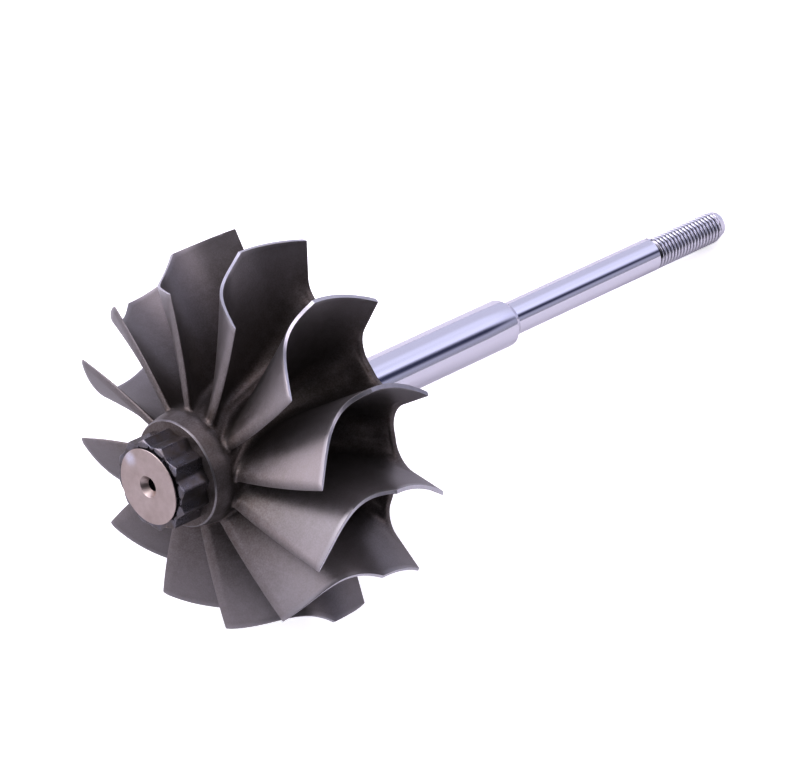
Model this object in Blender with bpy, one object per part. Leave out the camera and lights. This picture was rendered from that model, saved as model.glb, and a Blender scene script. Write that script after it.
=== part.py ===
"""Turbocharger turbine wheel on its shaft, lying on a level floor.

The rotor is modelled about its own axis and then laid down by one empty. In the rotor's frame Z runs
along the axis, from the nose (negative) to the threaded end (positive). Z = 0 is the back face of the
disc, and +X is the side that faces the floor. Angles are counted about Z from +X. Lengths are in
metres, and +Z of the finished part is up.
"""
from math import asin, atan2, ceil, cos, hypot, pi, radians, sin, sqrt

import bmesh
import bpy
from mathutils import Matrix, Vector

MM = 0.001
SEAM = 0.3 * MM

# Blades: the shroud edge is a Bezier curve with a handle at the outlet and one at the inlet corner
BLADE_COUNT = 12
PITCH = 2 * pi / BLADE_COUNT
TIP_RADIUS = 38.0 * MM
TIP_WIDTH = 12.2 * MM
OUTLET_RADIUS = 33.5 * MM
OUTLET_Z = -26.5 * MM
OUTLET_ROOT_Z = -27.2 * MM
OUTLET_HANDLE = (-0.1 * MM, 3.8 * MM)
INLET_HANDLE = (-5.2 * MM, -5.5 * MM)
RIB_ANGLE = PITCH / 2
INLET_SWEEP = radians(7.6)
OUTLET_WRAP = radians(22.6)
OUTLET_CURL = 2.55

# Half thickness of a blade at its tip edge and root, and at the thinner outlet
TIP_HALF = 0.45 * MM
ROOT_HALF = 1.0 * MM
OUTLET_TIP_HALF = 0.2 * MM
OUTLET_ROOT_HALF = 0.65 * MM
ROOT_FILLET = 1.4 * MM

# Hub and disc
HUB_RADIUS = 11.4 * MM
HUB_FLARE_Z = -23.6 * MM
HUB_FLARE_RISE = 16.0 * MM
HUB_FLARE_RUN = 22.0 * MM
DISC_RADIUS = 26.2 * MM
DISC_THICKNESS = 1.6 * MM
SCALLOP_FILLET = 4.2 * MM
RIB_TAPER = 0.1
# How far the blade's last two rows before the disc already widen towards the rib
RIB_SHARE_BEFORE_LAST = 0.06
RIB_SHARE_LAST = 0.2

# Nose
COLLAR_Z = -31.7 * MM
COLLAR_RADIUS = 10.7 * MM
COLLAR_BACK_RADIUS = 11.2 * MM
COLLAR_CHAMFER = 0.5 * MM
DRIVE_FRONT_Z = -38.4 * MM
DRIVE_CORNER_RADIUS = 9.25 * MM
DRIVE_NECK_RADIUS = 8.0 * MM
DRIVE_CHAMFER = 0.8 * MM
DRIVE_POINTS = 12
DRIVE_OVERCUT = 1.0 * MM
NOSE_Z = -39.3 * MM
NOSE_RADIUS = 7.7 * MM
NOSE_CHAMFER = 0.25 * MM
CENTRE_RADIUS = 2.1 * MM
CENTRE_DRILL_RADIUS = 1.1 * MM
CENTRE_CONE_DEPTH = 2.2 * MM
CENTRE_DEPTH = 4.6 * MM
CENTRE_POINT_DEPTH = 0.6 * MM

# Shaft
BOSS_RADIUS = 7.6 * MM
BOSS_END_Z = 10.0 * MM
BOSS_CHAMFER = 0.5 * MM
SOCKET_DEPTH = 1.5 * MM
GROOVE_Z = 4.2 * MM
GROOVE_WIDTH = 1.7 * MM
GROOVE_DEPTH = 1.3 * MM
JOURNAL_RADIUS = 4.9 * MM
JOURNAL_END_Z = 57.8 * MM
JOURNAL_CHAMFER_Z = 59.5 * MM
STUB_RADIUS = 3.47 * MM
STUB_SHOULDER_RADIUS = 3.65 * MM
THREAD_Z = 102.6 * MM
TIP_CONE_Z = 119.9 * MM
TIP_END_Z = 122.6 * MM
THREAD_RADIUS = 3.4 * MM
THREAD_PITCH = 1.0 * MM
THREAD_DEPTH = 0.55 * MM
SHAFT_TIP_RADIUS = 2.6 * MM

# Sizes that follow from the ones above
HUB_FRONT_Z = OUTLET_ROOT_Z - SEAM
HUB_BACK_Z = -DISC_THICKNESS - SEAM
FLARE_END = asin((HUB_BACK_Z - HUB_FLARE_Z) / HUB_FLARE_RUN)
CENTRE_SLOPE = (CENTRE_RADIUS - CENTRE_DRILL_RADIUS) / CENTRE_CONE_DEPTH
THREAD_ROOT = THREAD_RADIUS - THREAD_DEPTH
TIP_SLOPE = (THREAD_RADIUS - SHAFT_TIP_RADIUS) / (TIP_END_Z - TIP_CONE_Z)
THREAD_END_Z = TIP_CONE_Z + THREAD_DEPTH / TIP_SLOPE

# Facets
HUB_SIDES = 60
SHAFT_SIDES = 32
THREAD_SIDES = 24
FLARE_STEPS = 10
SHROUD_STEPS = 6
SPAN_STEPS = 5
ROOT_STEPS = 4
SHARP_ANGLE = radians(32)


def make_material(name, colour, roughness, metallic):
    """A plain Principled surface with one colour, roughness and metallic value."""
    material = bpy.data.materials.new(name)
    material.use_nodes = True
    shader = material.node_tree.nodes["Principled BSDF"]
    shader.inputs["Base Color"].default_value = (*colour, 1.0)
    shader.inputs["Roughness"].default_value = roughness
    shader.inputs["Metallic"].default_value = metallic
    return material


def make_materials():
    """The finishes of the cast wheel, its machined nose, and the ground shaft."""
    return {
        "cast": make_material("cast_alloy", (0.10, 0.085, 0.08), 0.55, 0.8),
        "drive": make_material("dark_drive", (0.03, 0.03, 0.035), 0.3, 0.8),
        "face": make_material("turned_face", (0.52, 0.45, 0.43), 0.35, 0.9),
        "ground": make_material("ground_steel", (0.45, 0.44, 0.48), 0.22, 1.0),
        "thread": make_material("cut_thread", (0.35, 0.35, 0.37), 0.35, 1.0),
    }


def finish_object(name, bm, material, rotor):
    """Turn a bmesh into a smooth-shaded object that hangs on the rotor."""
    bmesh.ops.remove_doubles(bm, verts=bm.verts, dist=0.001 * MM)
    bmesh.ops.recalc_face_normals(bm, faces=bm.faces)
    mesh = bpy.data.meshes.new(name)
    bm.to_mesh(mesh)
    bm.free()
    mesh.shade_smooth()
    mesh.set_sharp_from_angle(angle=SHARP_ANGLE)
    mesh.materials.append(material)
    thing = bpy.data.objects.new(name, mesh)
    bpy.context.scene.collection.objects.link(thing)
    thing.parent = rotor
    return thing


def turned(name, outline, sides, material, rotor):
    """A turned solid: the outline runs in (radius, z) from the axis back to the axis."""
    bm = bmesh.new()
    points = [bm.verts.new((radius, 0.0, z)) for radius, z in outline]
    edges = [bm.edges.new(pair) for pair in zip(points, points[1:])]
    bmesh.ops.spin(bm, geom=points + edges, cent=(0, 0, 0), axis=(0, 0, 1), angle=2 * pi, steps=sides,
                   use_merge=True)
    return finish_object(name, bm, material, rotor)


def skin(bm, rings):
    """Join closed rings of points one after the other, and return their vertices."""
    loops = [[bm.verts.new(point) for point in ring] for ring in rings]
    for first, second in zip(loops, loops[1:]):
        for here in range(len(first)):
            there = (here + 1) % len(first)
            bm.faces.new((first[here], first[there], second[there], second[here]))
    return loops


def polar(radius, angle, z):
    """A point in the rotor's frame."""
    return Vector((radius * cos(angle), radius * sin(angle), z))


def hub_flare(angle):
    """A point (radius, z) of the hub's quarter ellipse, from the outlet (0) to the disc (90 degrees)."""
    radius = HUB_RADIUS + HUB_FLARE_RISE * (1 - cos(angle))
    return radius, HUB_FLARE_Z + HUB_FLARE_RUN * sin(angle)


def make_hub(material, rotor):
    """The cast hub, from the collar to the front of the disc."""
    flare = [hub_flare(FLARE_END * step / FLARE_STEPS) for step in range(FLARE_STEPS + 1)]
    outline = [(0, HUB_FRONT_Z), (HUB_RADIUS, HUB_FRONT_Z)] + flare + [(0, HUB_BACK_Z)]
    return turned("hub_body", outline, HUB_SIDES, material, rotor)


def make_disc(material, rotor):
    """The web of the back disc, up to the bottom of the scallops."""
    outline = [(0, -DISC_THICKNESS), (DISC_RADIUS, -DISC_THICKNESS), (DISC_RADIUS, 0), (0, 0)]
    return turned("back_disc", outline, HUB_SIDES, material, rotor)


def camber(z):
    """Angle of the blade's middle surface past its rib, at one place along the axis."""
    start = RIB_ANGLE - INLET_SWEEP
    if z > -TIP_WIDTH:
        return start + INLET_SWEEP * (1 + z / TIP_WIDTH) ** 2
    travel = (-TIP_WIDTH - z) / (-TIP_WIDTH - OUTLET_Z)
    return start + OUTLET_WRAP * travel ** OUTLET_CURL


def camber_slope(z):
    """Change of the camber angle for each metre along the axis."""
    step = 0.01 * MM
    return (camber(z + step) - camber(z - step)) / (2 * step)


def shroud(part):
    """A point (radius, z) of the shroud edge, from the outlet tip (0) to the inlet corner (1)."""
    points = ((OUTLET_RADIUS, OUTLET_Z),
              (OUTLET_RADIUS + OUTLET_HANDLE[0], OUTLET_Z + OUTLET_HANDLE[1]),
              (TIP_RADIUS + INLET_HANDLE[0], -TIP_WIDTH + INLET_HANDLE[1]),
              (TIP_RADIUS, -TIP_WIDTH))
    weights = ((1 - part) ** 3, 3 * part * (1 - part) ** 2, 3 * part ** 2 * (1 - part), part ** 3)
    return tuple(sum(weight * point[axis] for weight, point in zip(weights, points)) for axis in (0, 1))


def rib_half(radius):
    """Half width of a back rib, which widens inwards and runs into the scallops' fillets."""
    side = TIP_HALF + RIB_TAPER * (TIP_RADIUS - radius)
    rise = min(max(radius - DISC_RADIUS, 0), SCALLOP_FILLET)
    return side + SCALLOP_FILLET - sqrt(SCALLOP_FILLET ** 2 - (SCALLOP_FILLET - rise) ** 2)


def blade_rows():
    """The blade's rows from the outlet to the back: (inner point, outer point, share of rib width)."""
    rows = [((HUB_RADIUS + SEAM, OUTLET_ROOT_Z), shroud(0), 0.0)]
    shares = {FLARE_STEPS - 1: RIB_SHARE_BEFORE_LAST, FLARE_STEPS: RIB_SHARE_LAST}
    inlet_steps = FLARE_STEPS - SHROUD_STEPS + 1
    inlet_pitch = (TIP_WIDTH - DISC_THICKNESS) / (inlet_steps + 1)
    for step in range(FLARE_STEPS + 1):
        radius, z = hub_flare(FLARE_END * step / FLARE_STEPS)
        if step < SHROUD_STEPS:
            outer = shroud((step + 1) / SHROUD_STEPS)
        else:
            outer = (TIP_RADIUS, -TIP_WIDTH + inlet_pitch * (step + 1 - SHROUD_STEPS))
        rows.append(((radius + SEAM, z), outer, shares.get(step, 0.0)))
    rows.append(((DISC_RADIUS + SEAM, HUB_BACK_Z), (TIP_RADIUS, -DISC_THICKNESS), 1.0))
    rows.append(((DISC_RADIUS + SEAM, 0), (TIP_RADIUS, 0), 1.0))
    return rows


def fillet_swell(height):
    """What the root fillet adds to the half thickness at a height over the hub."""
    left = max(ROOT_FILLET - height, 0)
    return ROOT_FILLET - sqrt(ROOT_FILLET ** 2 - left ** 2)


def half_thickness(radius, z, part, height, share):
    """Half thickness round the axis at one point: part is 0 at the root and 1 at the tip edge."""
    towards_outlet = min(max((-TIP_WIDTH - z) / (-TIP_WIDTH - OUTLET_Z), 0), 1)
    root = ROOT_HALF + (OUTLET_ROOT_HALF - ROOT_HALF) * towards_outlet
    tip = TIP_HALF + (OUTLET_TIP_HALF - TIP_HALF) * towards_outlet
    square = root + (tip - root) * part
    plain = square * hypot(1, radius * camber_slope(z)) + fillet_swell(height)
    return plain + share * (max(rib_half(radius), plain) - plain)


def blade_ring(inner, outer, share, turn):
    """The closed ring of points round one row of a blade."""
    sides = {1: [], -1: []}
    span = hypot(outer[0] - inner[0], outer[1] - inner[1])
    heights = [0, ROOT_FILLET / 3]
    heights += [ROOT_FILLET + (span - ROOT_FILLET) * step / SPAN_STEPS for step in range(SPAN_STEPS + 1)]
    for height in heights:
        part = height / span
        radius = inner[0] + (outer[0] - inner[0]) * part
        z = inner[1] + (outer[1] - inner[1]) * part
        half = half_thickness(radius, z, part, height, share) / radius
        for side in (1, -1):
            sides[side].append(polar(radius, turn + camber(z) + side * half, z))
    half = half_thickness(inner[0], inner[1], 0, 0, share) / inner[0]
    root = [polar(inner[0], turn + camber(inner[1]) + half * (2 * step / ROOT_STEPS - 1), inner[1])
            for step in range(1, ROOT_STEPS)]
    return sides[1] + sides[-1][::-1] + root


def make_blade(number, material, rotor):
    """One blade with its back rib."""
    turn = (number - 1) * PITCH
    bm = bmesh.new()
    loops = skin(bm, [blade_ring(*row, turn) for row in blade_rows()])
    bm.faces.new(loops[0])
    bm.faces.new(loops[-1])
    return finish_object(f"blade_{number:02d}", bm, material, rotor)


def make_collar(material, rotor):
    """The round collar between the drive and the hub."""
    back = HUB_FRONT_Z - SEAM
    outline = [(0, COLLAR_Z), (COLLAR_RADIUS - COLLAR_CHAMFER, COLLAR_Z),
               (COLLAR_RADIUS, COLLAR_Z + COLLAR_CHAMFER), (COLLAR_BACK_RADIUS, back), (0, back)]
    return turned("nose_collar", outline, HUB_SIDES, material, rotor)


def centre_radius(depth):
    """Radius of the centre hole's cone at a depth behind the end face."""
    return CENTRE_RADIUS - CENTRE_SLOPE * depth


def make_drive(material, rotor):
    """The twelve-point drive: a double hexagon prism cut to a turned and centre-drilled blank."""
    back = COLLAR_Z - SEAM
    half_pitch = pi / DRIVE_POINTS
    valley = DRIVE_CORNER_RADIUS * cos(2 * half_pitch) / cos(half_pitch)
    bm = bmesh.new()
    corners = [polar(valley if step % 2 else DRIVE_CORNER_RADIUS, step * half_pitch,
                     DRIVE_FRONT_Z - DRIVE_OVERCUT) for step in range(2 * DRIVE_POINTS)]
    outline = bm.faces.new([bm.verts.new(corner) for corner in corners])
    grown = bmesh.ops.extrude_face_region(bm, geom=[outline])
    moved = [item for item in grown["geom"] if isinstance(item, bmesh.types.BMVert)]
    bmesh.ops.translate(bm, verts=moved, vec=(0, 0, back - DRIVE_FRONT_Z + 2 * DRIVE_OVERCUT))
    drive = finish_object("nose_drive", bm, material, rotor)

    hole_end = NOSE_Z + CENTRE_DEPTH
    clear = DRIVE_CORNER_RADIUS + DRIVE_OVERCUT
    slope = (DRIVE_CORNER_RADIUS - DRIVE_NECK_RADIUS) / DRIVE_CHAMFER
    outline = [(0, hole_end + CENTRE_POINT_DEPTH), (CENTRE_DRILL_RADIUS, hole_end),
               (CENTRE_DRILL_RADIUS, NOSE_Z + CENTRE_CONE_DEPTH),
               (centre_radius(DRIVE_FRONT_Z - NOSE_Z), DRIVE_FRONT_Z), (DRIVE_NECK_RADIUS, DRIVE_FRONT_Z),
               (clear, DRIVE_FRONT_Z + (clear - DRIVE_NECK_RADIUS) / slope), (clear, back), (0, back)]
    blank = turned("drive_blank", outline, HUB_SIDES, material, rotor)
    blank.hide_render = True
    blank.display_type = "WIRE"
    cut = drive.modifiers.new("blank", "BOOLEAN")
    cut.operation = "INTERSECT"
    cut.solver = "EXACT"
    cut.object = blank
    return drive


def make_nose_face(material, rotor):
    """The thin machined end face, with the mouth of the centre hole."""
    back = DRIVE_FRONT_Z - SEAM
    outline = [(CENTRE_RADIUS, NOSE_Z), (NOSE_RADIUS - NOSE_CHAMFER, NOSE_Z),
               (NOSE_RADIUS, NOSE_Z + NOSE_CHAMFER), (NOSE_RADIUS, back),
               (centre_radius(back - NOSE_Z), back), (CENTRE_RADIUS, NOSE_Z)]
    return turned("nose_face", outline, SHAFT_SIDES, material, rotor)


def make_boss(material, rotor):
    """The boss behind the disc, with the groove of the seal ring and the seat of the journal."""
    floor = BOSS_RADIUS - GROOVE_DEPTH
    socket = JOURNAL_RADIUS + SEAM
    socket_z = BOSS_END_Z - SOCKET_DEPTH
    outline = [(0, SEAM), (BOSS_RADIUS, SEAM), (BOSS_RADIUS, GROOVE_Z), (floor, GROOVE_Z),
               (floor, GROOVE_Z + GROOVE_WIDTH), (BOSS_RADIUS, GROOVE_Z + GROOVE_WIDTH),
               (BOSS_RADIUS, BOSS_END_Z - BOSS_CHAMFER), (BOSS_RADIUS - BOSS_CHAMFER, BOSS_END_Z),
               (socket, BOSS_END_Z), (socket, socket_z), (0, socket_z)]
    return turned("seal_boss", outline, SHAFT_SIDES, material, rotor)


def make_journal(material, rotor):
    """The ground journal with its chamfered end."""
    start = BOSS_END_Z - SOCKET_DEPTH + SEAM
    outline = [(0, start), (JOURNAL_RADIUS, start), (JOURNAL_RADIUS, JOURNAL_END_Z),
               (STUB_SHOULDER_RADIUS, JOURNAL_CHAMFER_Z), (0, JOURNAL_CHAMFER_Z)]
    return turned("shaft_journal", outline, SHAFT_SIDES, material, rotor)


def make_stub(material, rotor):
    """The thinner seat between the journal and the thread."""
    start = JOURNAL_CHAMFER_Z + SEAM
    end = THREAD_Z - SEAM
    outline = [(0, start), (STUB_RADIUS, start), (STUB_RADIUS, end), (0, end)]
    return turned("shaft_stub", outline, SHAFT_SIDES, material, rotor)


def thread_ring(row):
    """One half-pitch row of the helical thread: even rows are crests, and the tip's cone cuts them down."""
    ring = []
    for side in range(THREAD_SIDES):
        z = THREAD_Z + THREAD_PITCH * (row / 2 + (side + 0.5) / THREAD_SIDES)
        crest = row % 2 == 0 and THREAD_Z + THREAD_PITCH / 4 < z < THREAD_END_Z
        radius = THREAD_ROOT
        if crest:
            radius = min(THREAD_RADIUS, THREAD_RADIUS - TIP_SLOPE * (z - TIP_CONE_Z))
        ring.append(polar(radius, 2 * pi * side / THREAD_SIDES, min(max(z, THREAD_Z), THREAD_END_Z)))
    return ring


def make_thread(material, rotor):
    """The threaded end: a helical thread that runs out on a conical tip."""
    rows = ceil(2 * (THREAD_END_Z - THREAD_Z) / THREAD_PITCH)
    rings = [thread_ring(row) for row in range(-2, rows + 1)]
    rings.append([polar(SHAFT_TIP_RADIUS, 2 * pi * side / THREAD_SIDES, TIP_END_Z)
                  for side in range(THREAD_SIDES)])
    bm = bmesh.new()
    loops = skin(bm, rings)
    bm.faces.new(loops[0])
    bm.faces.new(loops[-1])
    return finish_object("shaft_thread", bm, material, rotor)


def lay_down(rotor, thread):
    """Lay the rotor on two neighbouring blade tips and its thread, with its box centred over the origin."""
    drop = TIP_RADIUS * cos(PITCH / 2)
    tilt = min(atan2(drop - vertex.co.x, vertex.co.z) for vertex in thread.data.vertices)
    rotor.matrix_world = Matrix.Rotation(pi / 2 + tilt, 4, "Y")
    bpy.context.view_layer.update()
    depsgraph = bpy.context.evaluated_depsgraph_get()
    corners = []
    for child in rotor.children:
        if not child.hide_render:
            solid = child.evaluated_get(depsgraph)
            corners += [solid.matrix_world @ vertex.co for vertex in solid.data.vertices]
    low = [min(corner[axis] for corner in corners) for axis in range(3)]
    high = [max(corner[axis] for corner in corners) for axis in range(3)]
    rotor.location = (-(low[0] + high[0]) / 2, -(low[1] + high[1]) / 2, -low[2])


def main():
    """Build every piece and lay the rotor down."""
    for thing in list(bpy.data.objects):
        bpy.data.objects.remove(thing, do_unlink=True)
    materials = make_materials()
    rotor = bpy.data.objects.new("rotor_axis", None)
    bpy.context.scene.collection.objects.link(rotor)
    make_nose_face(materials["face"], rotor)
    make_drive(materials["drive"], rotor)
    make_collar(materials["cast"], rotor)
    make_hub(materials["cast"], rotor)
    make_disc(materials["cast"], rotor)
    for number in range(1, BLADE_COUNT + 1):
        make_blade(number, materials["cast"], rotor)
    make_boss(materials["ground"], rotor)
    make_journal(materials["ground"], rotor)
    make_stub(materials["ground"], rotor)
    thread = make_thread(materials["thread"], rotor)
    lay_down(rotor, thread)


main()
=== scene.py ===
"""Looks of a turbocharger turbine wheel on its shaft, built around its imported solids.

Every mesh is made in the rotor's frame and then laid down as the solids lie. In the rotor's frame Z
runs along the axis, from the nose (negative) to the threaded end (positive), Z = 0 is the back face
of the disc, and angles are counted about Z from +X, which faces the floor. Sizes in the classes are
millimetres, and the finished pieces are in metres.
"""
import logging
import math
from dataclasses import dataclass, field
from enum import Enum
from typing import Callable, ClassVar, Sequence, Union

import bmesh
import bpy
import numpy as np
from mathutils import Matrix, Vector


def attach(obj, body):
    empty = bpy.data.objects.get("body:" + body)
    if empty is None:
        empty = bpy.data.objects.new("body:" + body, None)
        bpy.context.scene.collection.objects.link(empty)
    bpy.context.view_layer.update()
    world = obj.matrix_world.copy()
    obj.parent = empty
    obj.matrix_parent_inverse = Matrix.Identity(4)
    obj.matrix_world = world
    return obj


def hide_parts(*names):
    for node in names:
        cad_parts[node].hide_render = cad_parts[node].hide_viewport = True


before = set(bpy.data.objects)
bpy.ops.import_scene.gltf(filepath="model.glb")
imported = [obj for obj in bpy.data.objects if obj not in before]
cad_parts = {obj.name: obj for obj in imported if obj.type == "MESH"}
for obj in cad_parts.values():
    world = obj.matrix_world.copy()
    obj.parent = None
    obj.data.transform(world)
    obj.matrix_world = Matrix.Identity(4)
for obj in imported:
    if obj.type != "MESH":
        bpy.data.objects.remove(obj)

MM = 0.001
WELD = 0.004
LOG = logging.getLogger("turbine_wheel")
Number = Union[float, "Wire"]
Colour = tuple[float, float, float]
Values = Union[float, np.ndarray]
Softness = Callable[[np.ndarray, np.ndarray], np.ndarray]


class Slot(Enum):
    """The record's material slots."""

    CAST = "cast_alloy"
    DRIVE = "dark_drive"
    FACE = "turned_face"
    GROUND = "ground_steel"
    THREAD = "cut_thread"


@dataclass(frozen=True)
class Lie:
    """How the rotor lies on the floor: on two blade tips and the end of its thread."""

    origin: tuple[float, float, float] = (-0.03948013, 0.0, 0.03550651)
    turn: float = math.radians(90 + 15.52982)

    def matrix(self) -> Matrix:
        """Give the rotor's place in the row frame."""
        return Matrix.Translation(self.origin) @ Matrix.Rotation(self.turn, 4, "Y")


LIE = Lie()


class Wire:
    """A value that runs between the nodes of a finish, with the operators of plain numbers."""

    def __init__(self, recipe: "Recipe", socket: bpy.types.NodeSocket) -> None:
        """Wrap one output socket of a recipe's node."""
        self.recipe = recipe
        self.socket = socket

    def __add__(self, other: Number) -> "Wire":
        """Add a number or a wire."""
        return self.recipe.math("ADD", self, other)

    __radd__ = __add__

    def __sub__(self, other: Number) -> "Wire":
        """Take a number or a wire away."""
        return self.recipe.math("SUBTRACT", self, other)

    def __rsub__(self, other: Number) -> "Wire":
        """Take this wire away from a number."""
        return self.recipe.math("SUBTRACT", other, self)

    def __mul__(self, other: Number) -> "Wire":
        """Multiply by a number or a wire."""
        return self.recipe.math("MULTIPLY", self, other)

    __rmul__ = __mul__

    def __truediv__(self, other: Number) -> "Wire":
        """Divide by a number or a wire."""
        return self.recipe.math("DIVIDE", self, other)

    def __rtruediv__(self, other: Number) -> "Wire":
        """Divide a number by this wire."""
        return self.recipe.math("DIVIDE", other, self)

    def root(self) -> "Wire":
        """Take the square root."""
        return self.recipe.math("SQRT", self)

    def clamped(self) -> "Wire":
        """Keep the value between 0 and 1."""
        return self.recipe.math("MULTIPLY", self, 1.0, clamp=True)

    def stepped(self, low: float, high: float) -> "Wire":
        """Rise smoothly from 0 at low to 1 at high."""
        return self.recipe.read("ShaderNodeMapRange", "Result", {"interpolation_type": "SMOOTHSTEP"},
                                {"Value": self, "From Min": low, "From Max": high})


class Recipe:
    """The node tree of one finish or of the studio's surroundings."""

    def __init__(self, owner: bpy.types.Material | bpy.types.World) -> None:
        """Start an empty tree.

        Args:
            owner: The material or the world that the tree belongs to.
        """
        owner.use_nodes = True
        self.tree = owner.node_tree
        self.tree.nodes.clear()

    def node(self, kind: str, settings: dict[str, object] | None = None,
             inputs: dict[str | int, object] | None = None) -> bpy.types.Node:
        """Add a node.

        Args:
            kind: The node's type name.
            settings: Properties of the node, set before its inputs.
            inputs: Values or wires of its sockets, by name or number.

        Returns:
            The node.
        """
        made = self.tree.nodes.new(kind)
        for name, value in (settings or {}).items():
            setattr(made, name, value)
        for name, value in (inputs or {}).items():
            if isinstance(value, Wire):
                self.tree.links.new(value.socket, made.inputs[name])
            else:
                made.inputs[name].default_value = value
        return made

    def read(self, kind: str, output: str | int, settings: dict[str, object] | None = None,
             inputs: dict[str | int, object] | None = None) -> Wire:
        """Add a node and give one of its outputs, with the arguments of node besides the output."""
        return Wire(self, self.node(kind, settings, inputs).outputs[output])

    def math(self, operation: str, first: Number, second: Number = 0.0, clamp: bool = False) -> Wire:
        """Work out a Math node's operation on one or two values, kept between 0 and 1 if asked."""
        return self.read("ShaderNodeMath", 0, {"operation": operation, "use_clamp": clamp},
                         {0: first, 1: second})

    def blend(self, factor: Number, first: object, second: object, how: str = "MIX") -> Wire:
        """Mix two colours.

        Args:
            factor: The share of the second colour.
            first: A colour or a wire.
            second: A colour or a wire.
            how: The Mix node's blend type.

        Returns:
            The mixed colour.
        """
        colours = [(*c, 1.0) if isinstance(c, tuple) else c for c in (first, second)]
        return self.read("ShaderNodeMix", 2, {"data_type": "RGBA", "blend_type": how},
                         {0: factor, 6: colours[0], 7: colours[1]})

    def coordinates(self) -> Wire:
        """Give the place on the piece.

        Returns:
            The place, in metres of the rotor's frame.
        """
        return self.read("ShaderNodeMapping", "Vector", {"vector_type": "TEXTURE"},
                         {"Vector": self.read("ShaderNodeTexCoord", "Object"),
                          "Location": LIE.origin, "Rotation": (0.0, LIE.turn, 0.0)})

    def parts(self, vector: Wire) -> tuple[Wire, Wire, Wire]:
        """Split a vector into x, y and z."""
        made = self.node("ShaderNodeSeparateXYZ", None, {0: vector})
        return Wire(self, made.outputs[0]), Wire(self, made.outputs[1]), Wire(self, made.outputs[2])

    def joined(self, x: Number, y: Number, z: Number) -> Wire:
        """Make a vector of three values."""
        return self.read("ShaderNodeCombineXYZ", 0, None, {0: x, 1: y, 2: z})

    def noise(self, size: float, where: Wire, detail: float = 3.0, rough: float = 0.55) -> Wire:
        """Give smooth noise whose features are about one size.

        Args:
            size: The features' size in millimetres.
            where: The place that is looked up.
            detail: The number of finer layers.
            rough: The strength of the finer layers.

        Returns:
            A value about 0.5.
        """
        return self.read("ShaderNodeTexNoise", "Fac", {"noise_dimensions": "3D"},
                         {"Vector": where, "Scale": 1.0 / (size * MM), "Detail": detail,
                          "Roughness": rough})

    def marked(self, name: str) -> Wire:
        """Read a value that the mesh carries at its points."""
        return self.read("ShaderNodeAttribute", "Fac", {"attribute_name": name})

    def bump(self, height: Wire, depth: float, strength: float = 1.0) -> Wire:
        """Turn a height into a normal, where 1 stands for a depth in millimetres."""
        return self.read("ShaderNodeBump", "Normal", None,
                         {"Height": height, "Distance": depth * MM, "Strength": strength})

    def surface(self, kind: str, inputs: dict[str, object], output: str) -> None:
        """Finish the tree with a shader and an output, given by their type names."""
        shader = self.node(kind, None, inputs)
        self.tree.links.new(shader.outputs[0], self.node(output).inputs["Surface"])

    def metal(self, colour: Wire, rough: Wire, normal: Wire, share: float = 1.0) -> None:
        """Finish the tree with bare metal, or with a share of it."""
        self.surface("ShaderNodeBsdfPrincipled", {"Metallic": share, "Base Color": colour,
                     "Roughness": rough, "Normal": normal}, "ShaderNodeOutputMaterial")


class Finish:
    """A finish of the rotor, mixed in the rotor's own coordinates."""

    name: str

    def make(self) -> bpy.types.Material:
        """Build the material.

        Returns:
            The material.
        """
        material = bpy.data.materials.new(self.name)
        recipe = Recipe(material)
        self.mix(recipe, recipe.coordinates())
        return material

    def mix(self, recipe: Recipe, where: Wire) -> None:
        """Add the finish's nodes to its recipe, for the place where it is looked up."""
        raise NotImplementedError


@dataclass(frozen=True)
class CastSkin(Finish):
    """The satin skin of the investment-cast alloy: brown-grey with a fine grain, with painted shade at
    the blades' roots and painted sheen, cooler, at the tips.
    """

    name: str = "cast_alloy_skin"
    # The first two colours paint shade at the blades' roots and a cool sheen at their tips.
    painted_root_shade: Colour = (0.110, 0.090, 0.076)
    painted_tip_sheen: Colour = (0.250, 0.231, 0.229)
    pale: Colour = (0.360, 0.342, 0.350)
    bare: Colour = (0.55, 0.54, 0.56)
    roughness: float = 0.42
    metallic: float = 0.76
    grain_depth: float = 0.034

    def mix(self, recipe: Recipe, where: Wire) -> None:
        """Mix the finish.

        Args:
            recipe: The material's recipe.
            where: The place on the piece.
        """
        cloud = recipe.noise(11.0, where, 4.0, 0.6)
        edge = recipe.marked("edge")
        calm = 1 - edge * 0.9
        mottle = (recipe.noise(1.6, where, 3.0) - 0.5) * calm + 0.5
        grain = (recipe.noise(0.32, where, 2.0, 0.7) - 0.5) * calm + 0.5
        # The span mark paints light: toward the roots the colour darkens as painted shade in the
        # passages, and toward the tips it turns paler and cooler as painted sheen; the cloud adds random
        # tone.
        tip = recipe.marked("span")
        sheen_and_tone_share = (tip * 1.15 + (cloud - 0.5) * 0.5).clamped()
        colour = recipe.blend(sheen_and_tone_share, self.painted_root_shade, self.painted_tip_sheen)
        lift = ((grain - 0.5) * 0.8 + (mottle - 0.5) * 0.5 + 0.14).clamped()
        colour = recipe.blend(lift, colour, self.pale)
        worn = (edge * (cloud + 0.3)).clamped()
        colour = recipe.blend(worn * 0.4, colour, self.bare)
        rough = self.roughness + (mottle - 0.5) * 0.14 + (grain - 0.5) * 0.12 - worn * 0.12
        height = grain * 0.75 + mottle * 0.25
        recipe.metal(colour, rough, recipe.bump(height, self.grain_depth, 0.9), self.metallic)


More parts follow.
